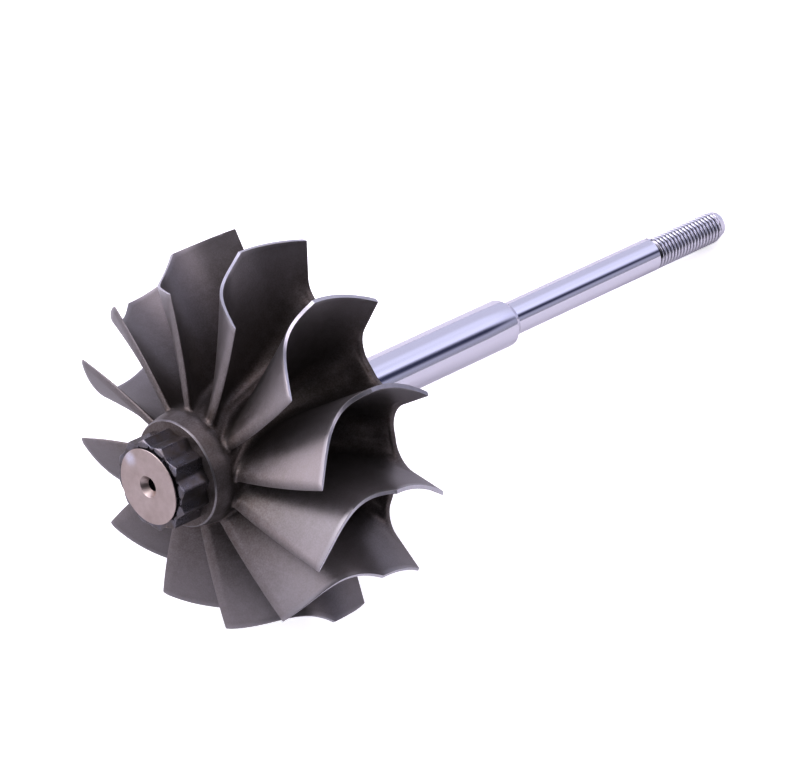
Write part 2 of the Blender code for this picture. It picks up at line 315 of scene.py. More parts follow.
@dataclass(frozen=True)
class GroundEdge(Finish):
    """The blades' tip edges, ground bright to the wheel's outer form."""

    name: str = "ground_blade_edge"
    bright: Colour = (0.74, 0.73, 0.76)
    dull: Colour = (0.46, 0.45, 0.47)

    def mix(self, recipe: Recipe, where: Wire) -> None:
        """Mix the finish.

        Args:
            recipe: The material's recipe.
            where: The place on the piece.
        """
        x, y, z = recipe.parts(where)
        lines = recipe.noise(0.12, recipe.joined((x * x + y * y).root(), z, 0.0), 2.0)
        patch = recipe.noise(2.5, where, 2.0)
        colour = recipe.blend((patch * 0.6 + lines * 0.5).clamped(), self.dull, self.bright)
        recipe.metal(colour, 0.26 + lines * 0.16, recipe.bump(lines, 0.004))


@dataclass(frozen=True)
class TurnedFace(Finish):
    """The turned end face: pale and slightly warm, with rings of tool marks and faint stains."""

    name: str = "turned_end_face"
    pale: Colour = (0.57, 0.505, 0.48)
    stain: Colour = (0.43, 0.365, 0.335)
    blue: Colour = (0.74, 0.76, 0.86)
    spot: tuple[float, float] = (-2.6, 5.9)

    def mix(self, recipe: Recipe, where: Wire) -> None:
        """Mix the finish.

        Args:
            recipe: The material's recipe.
            where: The place on the piece.
        """
        x, y, _ = recipe.parts(where)
        rings = recipe.noise(0.13, recipe.joined((x * x + y * y).root(), 0.0, 0.0), 2.0, 0.7)
        patch = recipe.noise(3.4, where, 4.0, 0.65)
        fine = recipe.noise(0.5, where, 3.0, 0.7)
        colour = recipe.blend((patch * 1.6 - 0.45).clamped(), self.stain, self.pale)
        aside, above = x / MM - self.spot[0], y / MM - self.spot[1]
        away = (aside * aside + above * above).root()
        colour = recipe.blend((1 - away.stepped(0.3, 2.2)) * (0.2 + fine * 0.7), colour, self.blue)
        height = rings * 0.6 + fine * 0.4
        recipe.metal(colour, 0.30 + rings * 0.10 + fine * 0.10, recipe.bump(height, 0.006))


@dataclass(frozen=True)
class DriveSkin(Finish):
    """The dark facets of the drive, glossier than the casting, with scale left in patches and a painted
    highlight along its chamfer line and corners.
    """

    name: str = "drive_facets"
    dark: Colour = (0.225, 0.225, 0.26)
    brown: Colour = (0.15, 0.128, 0.108)
    bright: Colour = (0.42, 0.41, 0.43)

    def mix(self, recipe: Recipe, where: Wire) -> None:
        """Mix the finish.

        Args:
            recipe: The material's recipe.
            where: The place on the piece.
        """
        patch = recipe.noise(2.2, where, 4.0, 0.6)
        grain = recipe.noise(0.35, where, 3.0, 0.65)
        colour = recipe.blend((patch * 2.0 - 0.5).clamped(), self.dark, self.brown)
        # The edge mark paints a highlight in the bright colour along the front chamfer's outer line and
        # down the points' corners.
        edge = recipe.marked("edge")
        colour = recipe.blend((edge * (0.55 + patch * 0.6)).clamped(), colour, self.bright)
        height = patch * 0.6 + grain * 0.4
        recipe.metal(colour, 0.17 + patch * 0.16 + grain * 0.08, recipe.bump(height, 0.02))


@dataclass(frozen=True)
class GroundSteel(Finish):
    """Bearing steel ground and polished round the axis; where it is cut as a thread, shade is painted
    into the grooves.
    """

    name: str = "ground_bearing_steel"
    colour: Colour = (0.79, 0.78, 0.84)
    shade: Colour = (0.73, 0.72, 0.78)
    # Painted shade, laid in the thread's grooves where the span mark is high.
    painted_groove_shade: Colour = (0.06, 0.06, 0.075)
    roughness: float = 0.09
    mark_depth: float = 0.0012

    def mix(self, recipe: Recipe, where: Wire) -> None:
        """Mix the finish.

        Args:
            recipe: The material's recipe.
            where: The place on the piece.
        """
        x, y, z = recipe.parts(where)
        marks = recipe.noise(0.09, recipe.joined(x * 0.02, y * 0.02, z), 3.0, 0.7)
        patch = recipe.noise(7.0, where, 3.0)
        colour = recipe.blend(marks * 0.5 + patch * 0.5, self.shade, self.colour)
        # Painted shade: the span mark darkens the thread's grooves; on the plain shaft it is zero.
        colour = recipe.blend(recipe.marked("span") * 0.9, colour, self.painted_groove_shade)
        rough = self.roughness + (marks - 0.5) * 0.08 + (patch - 0.5) * 0.05
        recipe.metal(colour, rough, recipe.bump(marks, self.mark_depth))


def polar(radius: Values, angle: Values, z: Values) -> np.ndarray:
    """Turn radius, angle and z into points."""
    radius, angle, z = np.broadcast_arrays(radius, angle, z)
    return np.stack([radius * np.cos(angle), radius * np.sin(angle), z], -1)


def spaced(first: float, last: float, steps: int) -> np.ndarray:
    """Give steps + 1 evenly spaced values."""
    return np.linspace(first, last, steps + 1)


def shown(thing: bpy.types.Object) -> bpy.types.Object:
    """Put an object into the scene."""
    bpy.context.scene.collection.objects.link(thing)
    return thing


class Draft:
    """The points and faces of one piece, gathered patch by patch in millimetres."""

    def __init__(self) -> None:
        """Start with nothing."""
        self.points: list[np.ndarray] = []
        self.faces: list[tuple[int, ...]] = []
        self.slots: list[int] = []
        self.marks: dict[str, list[np.ndarray]] = {"span": [], "edge": []}
        self.count = 0

    def patch(self, grid: np.ndarray, slot: int = 0, closed: bool = False,
              span: Values = 0.0, edge: Values = 0.0) -> None:
        """Add a grid of points as quads.

        Args:
            grid: Points, as rows by columns by 3.
            slot: The material slot of its faces.
            closed: Whether the last column joins the first.
            span: A mark from 0 to 1 that the finishes paint light and shade by: on the casting, how near
                the points are to a blade's tip (painted shade at the roots, painted sheen at the tips);
                on the thread, how deep they lie in the groove (painted shade).
            edge: How near the points are to a worn edge, or on the drive to an edge painted with a
                highlight, from 0 to 1.
        """
        rows, columns = grid.shape[:2]
        index = np.arange(rows * columns).reshape(rows, columns) + self.count
        if closed:
            index = np.column_stack([index, index[:, 0]])
        quads = np.stack([index[:-1, :-1], index[1:, :-1], index[1:, 1:], index[:-1, 1:]], -1)
        self.faces += [tuple(quad) for quad in quads.reshape(-1, 4).tolist()]
        self.slots += [slot] * (quads.shape[0] * quads.shape[1])
        self.points.append(grid.reshape(-1, 3))
        for name, value in (("span", span), ("edge", edge)):
            self.marks[name].append(np.broadcast_to(value, (rows, columns)).reshape(-1))
        self.count += rows * columns

    def lathe(self, profile: Sequence[tuple[float, float]], sides: int, slot: int = 0) -> None:
        """Add a turned skin.

        Args:
            profile: Radius and z of each ring.
            sides: The number of facets round the axis.
            slot: The material slot of its faces.
        """
        rings = np.array(profile, float)
        angle = spaced(0.0, 2 * math.pi, sides)[:-1]
        self.patch(polar(rings[:, :1], angle[None], rings[:, 1:]), slot, True)

    @staticmethod
    def smoothed(mesh: bpy.types.Mesh, softness: Softness, rounds: int = 10) -> None:
        """Move points toward the middle of their neighbours.

        Args:
            mesh: The mesh, in the rotor's frame.
            softness: Gives the share of the move from radius and z in millimetres.
            rounds: The number of moves.
        """
        place = np.empty(len(mesh.vertices) * 3)
        mesh.vertices.foreach_get("co", place)
        place = place.reshape(-1, 3)
        ends = np.empty(len(mesh.edges) * 2, int)
        mesh.edges.foreach_get("vertices", ends)
        one, two = ends.reshape(-1, 2).T
        count = np.bincount(ends, minlength=len(place))[:, None]
        share = 0.5 * softness(np.hypot(place[:, 0], place[:, 1]) / MM, place[:, 2] / MM)[:, None]
        for _ in range(rounds):
            total = np.zeros_like(place)
            np.add.at(total, one, place[two])
            np.add.at(total, two, place[one])
            place = place + share * (total / count - place)
        mesh.vertices.foreach_set("co", place.reshape(-1))

    def welded(self, name: str, softness: Softness | None) -> bpy.types.Mesh:
        """Join the patches into one mesh.

        Args:
            name: The mesh's name.
            softness: Where the skin is smoothed, if it is.

        Returns:
            The mesh, in the rotor's frame.
        """
        mesh = bpy.data.meshes.new(name)
        mesh.from_pydata((np.concatenate(self.points) * MM).tolist(), [], self.faces)
        mesh.polygons.foreach_set("material_index", self.slots)
        for mark, values in self.marks.items():
            layer = mesh.attributes.new(mark, "FLOAT", "POINT")
            layer.data.foreach_set("value", np.concatenate(values).astype(np.float32))
        bm = bmesh.new()
        bm.from_mesh(mesh)
        bmesh.ops.remove_doubles(bm, verts=bm.verts, dist=WELD * MM)
        bmesh.ops.dissolve_degenerate(bm, edges=bm.edges, dist=WELD * MM / 4)
        bmesh.ops.recalc_face_normals(bm, faces=bm.faces)
        loose = [edge for edge in bm.edges if len(edge.link_faces) != 2]
        LOG.info("%s: %d faces, %d open edges", name, len(bm.faces), len(loose))
        bm.to_mesh(mesh)
        bm.free()
        if softness:
            self.smoothed(mesh, softness)
        return mesh


class RotorPart:
    """A part of the rotor: its draft, welded, dressed, and told what it stands for."""

    name: ClassVar[str]
    slot: ClassVar[Slot]
    nodes: ClassVar[tuple[str, ...]]
    sharp: ClassVar[float] = 30.0
    softness: ClassVar[Softness | None] = None

    def draft(self) -> Draft:
        """Gather the part's patches."""
        raise NotImplementedError

    def build(self, *finishes: bpy.types.Material) -> bpy.types.Object:
        """Build the part as one piece.

        Args:
            finishes: A material for each slot of the draft.

        Returns:
            The piece, in its place in the row frame.
        """
        mesh = self.draft().welded(self.name, self.softness)
        mesh.transform(LIE.matrix())
        mesh.shade_smooth()
        mesh.set_sharp_from_angle(angle=math.radians(self.sharp))
        for finish in finishes:
            mesh.materials.append(finish)
        thing = shown(bpy.data.objects.new(self.name, mesh))
        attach(thing, "root")
        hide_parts(*self.nodes)
        return thing


class Curve:
    """A line in the plane of radius and z, measured along its length."""

    def __init__(self, points: np.ndarray) -> None:
        """Keep the line's points and their distances along it."""
        self.points = points
        self.along = np.concatenate([[0.0], np.cumsum(np.hypot(*np.diff(points, axis=0).T))])

    @property
    def length(self) -> float:
        """The line's whole length."""
        return float(self.along[-1])

    def at(self, distance: np.ndarray) -> tuple[np.ndarray, np.ndarray]:
        """Give radius and z at distances along the line."""
        return (np.interp(distance, self.along, self.points[:, 0]),
                np.interp(distance, self.along, self.points[:, 1]))

    def nearest(self, radius: np.ndarray, z: np.ndarray) -> tuple[np.ndarray, np.ndarray]:
        """Find the line's nearest place to each point.

        Args:
            radius: Radius of the points.
            z: Their z.

        Returns:
            The distance along the line, and how far the point is from it.
        """
        start, step = self.points[:-1], np.diff(self.points, axis=0)
        away = np.stack([radius, z], -1)[..., None, :] - start
        share = np.clip((away * step).sum(-1) / (step ** 2).sum(-1), 0.0, 1.0)
        miss = np.linalg.norm(away - share[..., None] * step, axis=-1)
        best = miss.argmin(-1)[..., None]
        along = self.along[best] + np.take_along_axis(share, best, -1) * np.diff(self.along)[best]
        return along[..., 0], miss.min(-1)


def eased(value: np.ndarray, low: float, high: float) -> np.ndarray:
    """Rise smoothly from 0 at low to 1 at high."""
    share = np.clip((np.asarray(value, float) - low) / (high - low), 0.0, 1.0)
    return share * share * (3 - 2 * share)


def between(value: np.ndarray, low: float, full: float, last: float, high: float) -> np.ndarray:
    """Rise from 0 at low to 1 at full, and fall from 1 at last to 0 at high."""
    return eased(value, low, full) * (1 - eased(value, last, high))


@dataclass
class WheelCasting(RotorPart):
    """The cast wheel: collar, hub, twelve blades and the scalloped disc, as one continuous skin."""

    name = "wheel_casting"
    slot = Slot.CAST
    sharp = 34.0
    blades: int = 12
    tip_radius: float = 38.0
    tip_width: float = 12.2
    outlet_radius: float = 33.5
    outlet_z: float = -26.5
    inlet_sweep: float = math.radians(7.6)
    outlet_wrap: float = math.radians(22.6)
    outlet_curl: float = 2.55
    tip_half: float = 0.45
    root_half: float = 1.0
    outlet_tip_half: float = 0.26
    outlet_root_half: float = 0.85
    nose_root: float = 0.8
    nose_tip: float = 0.35
    fillet: float = 1.9
    nose_fillet: float = 1.1
    hub_radius: float = 11.05
    flare_z: float = -23.6
    flare_rise: float = 16.38
    flare_run: float = 22.0
    disc_radius: float = 26.2
    scallop_fillet: float = 4.2
    rib_taper: float = 0.1
    rib_start_z: float = -8.0
    collar_z: float = -32.1
    collar_radius: float = 10.65
    ridge_radius: float = 11.3
    ridge_z: float = -28.7
    ridge_fall: float = 1.1
    rim_chamfer: float = 0.26
    drive_foot: float = 9.9
    line_width: float = 0.06
    line_share: float = 0.98
    evening: float = 0.65
    boss_radius: float = 7.6
    boss_fillet: float = 1.0
    back_radii: tuple[float, ...] = (24.0, 20.0, 15.0, 11.0)
    back_edge_z: float = -0.3
    back_edge: tuple[tuple[float, float], ...] = ((-0.16, 0.0), (-0.05, 0.045), (0.0, 0.16))
    edge_round: float = 0.07
    disc_margin: float = 0.4
    lean: float = 0.6
    lean_end: float = 3.2
    bend_share: float = 0.60
    foot_room: float = 0.84
    fillet_growth: tuple[float, float] = (0.5, 4.0)
    scallop_share: float = 0.42
    square_shares: tuple[float, float] = (0.10, 0.45)
    soft_rim_radii: tuple[float, ...] = (23.0, 24.5, 28.5, 31.5)
    soft_rim_levels: tuple[float, ...] = (-4.5, -3.0, -0.7, -0.3)
    soft_feet_radii: tuple[float, ...] = (-2.0, -1.0, 12.0, 13.0)
    soft_feet_levels: tuple[float, ...] = (-29.4, -28.9, -24.0, -20.0)
    soft_feet: float = 0.7
    nose_steps: int = 7
    shroud_steps: int = 26
    inlet_steps: int = 14
    level_steps: int = 20
    fillet_steps: int = 9
    floor_steps: int = 16
    front_columns: int = 3
    pitch: float = field(init=False)
    floor: Curve = field(init=False)
    outer: Curve = field(init=False)
    root_start: float = field(init=False)
    length: float = field(init=False)

    def __post_init__(self) -> None:
        """Work out the lines that the blades stand on and end at."""
        self.pitch = 2 * math.pi / self.blades
        cone = np.array([(self.collar_radius, self.collar_z + self.rim_chamfer),
                         (self.ridge_radius, self.ridge_z)])
        fall = spaced(0.0, 1.0, 12)[1:]
        drop = (self.hub_radius - self.ridge_radius) * eased(fall, 0.0, 1.0)
        step = np.stack([self.ridge_radius + drop, self.ridge_z + self.ridge_fall * fall], -1)
        end = math.acos(1 - (self.disc_radius - self.hub_radius) / self.flare_rise)
        turn = spaced(0.0, end, 160)
        flare = np.stack([self.hub_radius + self.flare_rise * (1 - np.cos(turn)),
                          self.flare_z + self.flare_run * np.sin(turn)], -1)
        level = spaced(self.ridge_z + self.ridge_fall, self.flare_z, 60)[1:-1]
        straight = np.stack([np.full_like(level, self.hub_radius), level], -1)
        self.floor = Curve(np.vstack([cone, step, straight, flare]))
        self.root_start = float(self.floor.along[len(cone) + len(step) - 1])
        self.length = self.floor.length - self.root_start
        handles = np.array([(self.outlet_radius, self.outlet_z),
                            (self.outlet_radius - 0.1, self.outlet_z + 3.8),
                            (self.tip_radius - 5.2, -self.tip_width - 5.5),
                            (self.tip_radius, -self.tip_width)])
        part = spaced(0.0, 1.0, 120)[:, None]
        weights = np.hstack([(1 - part) ** 3, 3 * part * (1 - part) ** 2,
                             3 * part ** 2 * (1 - part), part ** 3])
        self.outer = Curve(np.vstack([weights @ handles, [self.tip_radius, self.rim_z]]))

    @property
    def nodes(self) -> tuple[str, ...]:
        """The solids that the casting stands for."""
        return ("hub_body", "back_disc", "nose_collar",
                *(f"blade_{number:02d}" for number in range(1, self.blades + 1)))

    @property
    def rim_z(self) -> float:
        """The z of the disc's front face at its rim."""
        return float(self.floor.points[-1, 1])

    def camber(self, z: np.ndarray) -> np.ndarray:
        """Give the angle of a blade's middle surface.

        Args:
            z: Where it is wanted.

        Returns:
            The angle at each z.
        """
        start = self.pitch / 2 - self.inlet_sweep
        travel = np.clip((-self.tip_width - z) / (-self.tip_width - self.outlet_z), 0.0, None)
        inlet = self.inlet_sweep * (1 + np.maximum(z, -self.tip_width) / self.tip_width) ** 2
        return start + inlet + self.outlet_wrap * travel ** self.outlet_curl

    def slope(self, z: np.ndarray) -> np.ndarray:
        """Give the change of camber angle for each millimetre of z."""
        return (self.camber(z + 0.01) - self.camber(z - 0.01)) / 0.02

    def rib_half(self, radius: np.ndarray) -> np.ndarray:
        """Give the half width of a back rib, with the fillets of the scallops.

        Args:
            radius: Where it is wanted.

        Returns:
            The half width at each radius.
        """
        rise = np.clip(radius - self.disc_radius, 0.0, self.scallop_fillet)
        arc = np.sqrt(self.scallop_fillet ** 2 - (self.scallop_fillet - rise) ** 2)
        return self.tip_half + self.rib_taper * (self.tip_radius - radius) + self.scallop_fillet - arc

    def plain_half(self, radius: np.ndarray, z: np.ndarray, part: np.ndarray) -> np.ndarray:
        """Give a blade's half thickness round the axis, without its fillets.

        Args:
            radius: Radius of the points.
            z: Their z.
            part: 0 at the root and 1 at the tip.

        Returns:
            The half thickness.
        """
        outward = np.clip((-self.tip_width - z) / (-self.tip_width - self.outlet_z), 0.0, 1.0)
        root = self.root_half + (self.outlet_root_half - self.root_half) * outward
        tip = self.tip_half + (self.outlet_tip_half - self.tip_half) * outward
        return (root + (tip - root) * part) * np.hypot(1.0, radius * self.slope(z))

    def thickened(self, radius: np.ndarray, z: np.ndarray, part: np.ndarray) -> np.ndarray:
        """Give a blade's half thickness as it grows into the back rib's.

        Args:
            radius: Radius of the points.
            z: Their z.
            part: 0 at the root and 1 at the tip.

        Returns:
            The half thickness.
        """
        plain = self.plain_half(radius, z, part)
        rib = self.tip_half + self.rib_taper * (self.tip_radius - np.maximum(radius, self.disc_radius))
        return plain + (rib - plain) * eased(z, self.rib_start_z, self.rim_z)

    def stations(self, nose: float, bend: float, end: float) -> np.ndarray:
        """Place columns along a line: round the outlet edge, on to a bend, and on to the line's end.

        Args:
            nose: How far the rounding of the outlet edge reaches.
            bend: The distance of the bend.
            end: The distance of the last column.

        Returns:
            The distance of each column.
        """
        start = nose * (1 - np.cos(spaced(0.0, math.pi / 2, self.nose_steps)))
        return np.concatenate([start, spaced(start[-1], bend, self.shroud_steps)[1:],
                               spaced(bend, end, self.inlet_steps)[1:]])

    def columns(self) -> tuple[np.ndarray, np.ndarray, np.ndarray]:
        """Place the blade's columns from its outlet edge to the rim.

        Returns:
            Distance along the floor, distance along the outer line, and the share of full thickness.
        """
        last = self.length - self.disc_margin
        root = self.stations(self.nose_root, self.bend_share * self.length, last)
        outer = self.stations(self.nose_tip, float(self.outer.along[-2]), self.outer.length)
        share = np.ones_like(root)
        share[:self.nose_steps + 1] = np.sin(spaced(0.0, math.pi / 2, self.nose_steps))
        return self.root_start + root, outer, share

    def slip(self, root: np.ndarray) -> np.ndarray:
        """Give how much further back a column stands on a passage's far side, square across it.

        Args:
            root: The columns' distances along the floor.

        Returns:
            What is added to each distance.
        """
        radius, z = self.floor.at(root)
        width = radius * self.pitch - 2 * self.root_half
        steep = np.maximum(-radius * self.slope(z), 0.0)
        return self.lean * steep * width * eased(root - self.root_start, self.nose_root, self.lean_end)

    def levels(self, span: np.ndarray, fillet: np.ndarray) -> np.ndarray:
        """Place the blade's levels from its foot to its tip.

        Args:
            span: The blade's height at each column.
            fillet: The radius of the root fillet at each column.

        Returns:
            Heights, as columns by levels.
        """
        turn = spaced(math.pi / 2, 0.0, self.fillet_steps)
        low = fillet[:, None] * (1 - np.sin(turn))
        part = spaced(0.0, 1.0, self.level_steps)[1:]
        high = fillet[:, None] + (span - self.edge_round - fillet)[:, None] * part
        return np.hstack([low, high, span[:, None]])

    def fillets(self, behind: np.ndarray, radius: np.ndarray, z: np.ndarray) -> np.ndarray:
        """Give the radius of the root fillet at each column.

        Args:
            behind: The columns' distances from the outlet edge along the floor.
            radius: Radius of their feet.
            z: The feet's z.

        Returns:
            The fillet's radii.
        """
        late = eased(behind, self.scallop_share * self.length, self.length - self.disc_margin)
        grown = eased(behind, *self.fillet_growth)
        fillet = self.nose_fillet + (self.fillet - self.nose_fillet) * grown
        fillet = fillet + (self.scallop_fillet - self.fillet) * late
        half = self.thickened(radius, z, np.zeros_like(radius))
        room = self.foot_room * radius * self.pitch / 2 - half
        return np.minimum(fillet, room / np.hypot(1.0, radius * self.slope(z)))

    def side(self, sign: int) -> tuple[np.ndarray, np.ndarray]:
        """Shape one side of a blade.

        Args:
            sign: 1 for the side with the larger angle, and -1 for the other.

        Returns:
            Points as columns by levels by 3, and how near each is to the tip.
        """
        root, outer, share = self.columns()
        if sign < 0:
            root = root + self.slip(root)
        foot_r, foot_z = self.floor.at(root)
        out_r, out_z = self.outer.at(outer)
        span = np.hypot(out_r - foot_r, out_z - foot_z)
        behind = root - self.root_start
        fillet = self.fillets(behind, foot_r, foot_z)
        part = self.levels(span, fillet) / span[:, None]
        radius = foot_r[:, None] + (out_r - foot_r)[:, None] * part
        z = foot_z[:, None] + (out_z - foot_z)[:, None] * part
        half = self.thickened(radius, z, part) * share[:, None]
        half[:, -1] = np.maximum(half[:, -1] - self.edge_round, 0.0)
        left = np.clip(fillet[:, None] - self.floor.nearest(radius, z)[1], 0.0, fillet[:, None])
        swell = fillet[:, None] - np.sqrt(fillet[:, None] ** 2 - left ** 2)

        # The fillet rolls out square to the blade at its outlet edge, and round the axis further back.
        steep = foot_r * self.slope(foot_z)
        bow = np.arcsin(share)
        nose = share < 1
        run = np.where(nose, self.nose_root * np.sin(bow), 1.0)
        rise = steep * run + sign * half[:, 0] * np.where(nose, np.cos(bow), 0.0)
        rise[0], run[0] = sign, 0.0
        size = np.hypot(run, rise)
        square = 1 - eased(behind, *(share * self.length for share in self.square_shares))
        ahead = -sign * rise / size * square
        across = sign * run / size * square + (1 - square) * sign * np.hypot(1.0, steep)
        moved_r, moved_z = self.floor.at(root[:, None] + swell * ahead[:, None])
        centre = self.camber(z)
        radius, z = radius + moved_r - foot_r[:, None], z + moved_z - foot_z[:, None]
        offset = sign * half + swell * across[:, None]
        offset[self.nose_steps:] = sign * np.abs(offset[self.nose_steps:])
        grid = polar(radius, centre + offset / radius, z)
        grid[-1] = self.wall_side(sign)[0]
        return grid, part

    def wall_side(self, sign: int) -> list[np.ndarray]:
        """Shape one side of a back rib, from the bottom of the scallop to the tip.

        Args:
            sign: 1 for the side with the larger angle, and -1 for the other.

        Returns:
            The points of each row, one for each level.
        """
        height = np.array([self.tip_radius - self.disc_radius])
        line_r = self.disc_radius + self.levels(height, np.array([self.scallop_fillet]))[0]
        line_half = self.rib_half(line_r)
        run, rise = np.gradient(line_r), np.gradient(line_half)
        run[0], rise[0] = 0.0, -1.0
        run[-1], rise[-1] = 1.0, 0.0
        size = np.hypot(run, rise)
        rows = []
        for z, inset in self.wall_rows:
            half, radius = line_half - inset * run / size, line_r + inset * rise / size
            rows.append(polar(radius, self.camber(np.array(z)) + sign * half / radius, z))
        return rows

    @property
    def wall_rows(self) -> list[tuple[float, float]]:
        """The z of the wall's rows from front to back, and how far each lies inside the wall."""
        return [*((z, 0.0) for z in spaced(self.rim_z, self.back_edge_z, 6)), *self.back_edge]

    def wall_bottom(self) -> list[np.ndarray]:
        """Shape the bottom of the scallop after blade 0, from its rib to the next one.

        Returns:
            The points of each row of the wall.
        """
        rows = []
        for z, inset in self.wall_rows:
            radius, centre = self.disc_radius - inset, self.camber(np.array(z))
            foot = self.rib_half(np.array(self.disc_radius)) / radius
            angle = np.linspace(centre + foot, centre + self.pitch - foot, self.floor_steps + 1)
            rows.append(polar(radius, angle, z))
        return rows

    def softness(self, radius: np.ndarray, z: np.ndarray) -> np.ndarray:
        """Give how much the skin is smoothed: at the scallops' edges and the blades' front feet.

        Args:
            radius: Radius of the points.
            z: Their z.

        Returns:
            The share of smoothing.
        """
        rim = between(radius, *self.soft_rim_radii) * between(z, *self.soft_rim_levels)
        feet = between(radius, *self.soft_feet_radii) * between(z, *self.soft_feet_levels)
        return np.maximum(rim, self.soft_feet * feet)

    def floor_patch(self, plus: np.ndarray, minus: np.ndarray) -> np.ndarray:
        """Shape the floor between blade 0 and the next one.

        Args:
            plus: The foot of blade 0's side with the larger angle, from the outlet to the rim.
            minus: The foot of the next blade's other side.

        Returns:
            Points as rows by columns by 3.
        """
        share = spaced(0.0, 1.0, self.floor_steps)
        first, last = self.floor_place(plus), self.floor_place(minus)
        turn = (last[:, 0] - first[:, 0]) % (2 * math.pi)
        angle = first[:, :1] + turn[:, None] * share
        radius, z = self.floor.at(first[:, 1:] + (last - first)[:, 1:] * eased(share, 0.0, 1.0))
        grid = polar(radius, angle, z)
        grid[:, 0], grid[:, -1] = plus, minus
        grid[-1] = self.wall_bottom()[0]
        return grid

    def floor_place(self, points: np.ndarray) -> np.ndarray:
        """Give the angle of points on the floor and their distance along it."""
        along, _ = self.floor.nearest(np.hypot(points[:, 0], points[:, 1]), points[:, 2])
        return np.stack([np.arctan2(points[:, 1], points[:, 0]), along], -1)

    def turned_by(self, grid: np.ndarray, blade: int) -> np.ndarray:
        """Turn points about the axis.

        Args:
            grid: The points.
            blade: The number of blade pitches.

        Returns:
            The turned points.
        """
        c, s = math.cos(blade * self.pitch), math.sin(blade * self.pitch)
        x, y = grid[..., 0], grid[..., 1]
        return np.stack([c * x - s * y, s * x + c * y, grid[..., 2]], -1)

    def draft(self) -> Draft:
        """Gather the skin, with the blades' ground edges in the second slot.

        Returns:
            The draft.
        """
        draft = Draft()
        plus, part = self.side(1)
        minus, _ = self.side(-1)
        front = self.front_columns
        span = np.concatenate([part[::-1], part[1:]])
        ribs = self.wall_side(1), self.wall_side(-1)
        wall = [np.concatenate([up[::-1], bottom[1:-1], self.turned_by(down, 1)])
                for up, bottom, down in zip(ribs[0], self.wall_bottom(), ribs[1])]
        reach = np.concatenate([part[-1][::-1], np.zeros(len(wall[0]) - 2 * part.shape[1]), part[-1]])
        floor = self.floor_patch(plus[front:, 0], self.turned_by(minus[front:, 0], 1))
        ends = np.array([self.across(up[-1:], down[-1:])[0] for up, down in zip(*ribs)])
        back = self.across(ribs[0][-1], ribs[1][-1])
        for blade in range(self.blades):
            draft.patch(self.turned_by(np.concatenate([minus[::-1], plus[1:]]), blade), 0, span=span,
                        edge=eased(span, 0.975, 1.0))
            draft.patch(self.turned_by(self.across(plus[:, -1], minus[:, -1]), blade), 1, span=1.0)
            draft.patch(self.turned_by(floor, blade), 0)
            draft.patch(self.turned_by(np.array(wall), blade), 0, span=reach)
            draft.patch(self.turned_by(ends, blade), 1, span=1.0)
            draft.patch(self.turned_by(back, blade), 0, span=0.3)
        self.add_collar(draft, plus, minus, floor)
        self.add_back(draft, back)
        return draft

    @staticmethod
    def across(plus: np.ndarray, minus: np.ndarray) -> np.ndarray:
        """Span the strip between two lines of points."""
        share = spaced(0.0, 1.0, 2)[:, None, None]
        return np.swapaxes(minus[None] + (plus - minus)[None] * share, 0, 1)

    def add_collar(self, draft: Draft, plus: np.ndarray, minus: np.ndarray, floor: np.ndarray) -> None:
        """Join the fronts of the blades' feet to the collar, and close the collar's front.

        Args:
            draft: The casting so far.
            plus: The blade's side with the larger angle.
            minus: Its other side.
            floor: The floor between two blades.
        """
        front = self.front_columns
        around = np.concatenate([minus[front::-1, 0], plus[1:front + 1, 0], floor[0, 1:-1]])
        ring = np.concatenate([self.turned_by(around, blade) for blade in range(self.blades)])
        place = self.floor_place(ring)
        angle = np.unwrap(place[:, 0])
        even = angle[0] + spaced(0.0, 2 * math.pi, len(angle))[:-1]
        rim_angle = (1 - self.evening) * angle + self.evening * even
        rows = [ring]
        for share in [*spaced(0.0, 1.0, 14)[1:-1], self.line_share, 1.0]:
            radius, z = self.floor.at(place[:, 1] * (1 - share))
            rows.append(polar(radius, angle + (rim_angle - angle) * eased(share, 0.0, 1.0), z))
        last = np.zeros((len(rows), len(ring)))
        last[-1] = 1.0
        draft.patch(np.array(rows), 0, True, span=0.25, edge=last)
        inner = self.collar_radius - self.rim_chamfer
        face = [polar(radius, rim_angle, self.collar_z)
                for radius in (inner, inner - self.line_width, self.drive_foot, 0.0)]
        draft.patch(np.array([rows[-1], face[0]]), 0, True, span=0.6, edge=1.0)
        draft.patch(np.array(face), 0, True, span=0.1, edge=last[-1:-5:-1])

    def add_back(self, draft: Draft, back: np.ndarray) -> None:
        """Join the back of the ribs and scallops to the boss.

        Args:
            draft: The casting so far.
            back: The back of blade 0's rib.
        """
        around = np.concatenate([back[0], self.wall_bottom()[-1][1:-1]])
        ring = np.concatenate([self.turned_by(around, blade) for blade in range(self.blades)])
        angle = np.unwrap(np.arctan2(ring[:, 1], ring[:, 0]))
        high = self.boss_fillet
        fillet = [(self.boss_radius + high * (1 - math.sin(turn)), high * (1 - math.cos(turn)))
                  for turn in spaced(0.0, math.pi / 2, 6)]
        rings = [*((radius, 0.0) for radius in self.back_radii), *fillet, (0.0, high)]
        rows = [ring, *(polar(radius, angle, z) for radius, z in rings)]
        draft.patch(np.array(rows), 0, True, span=0.3)


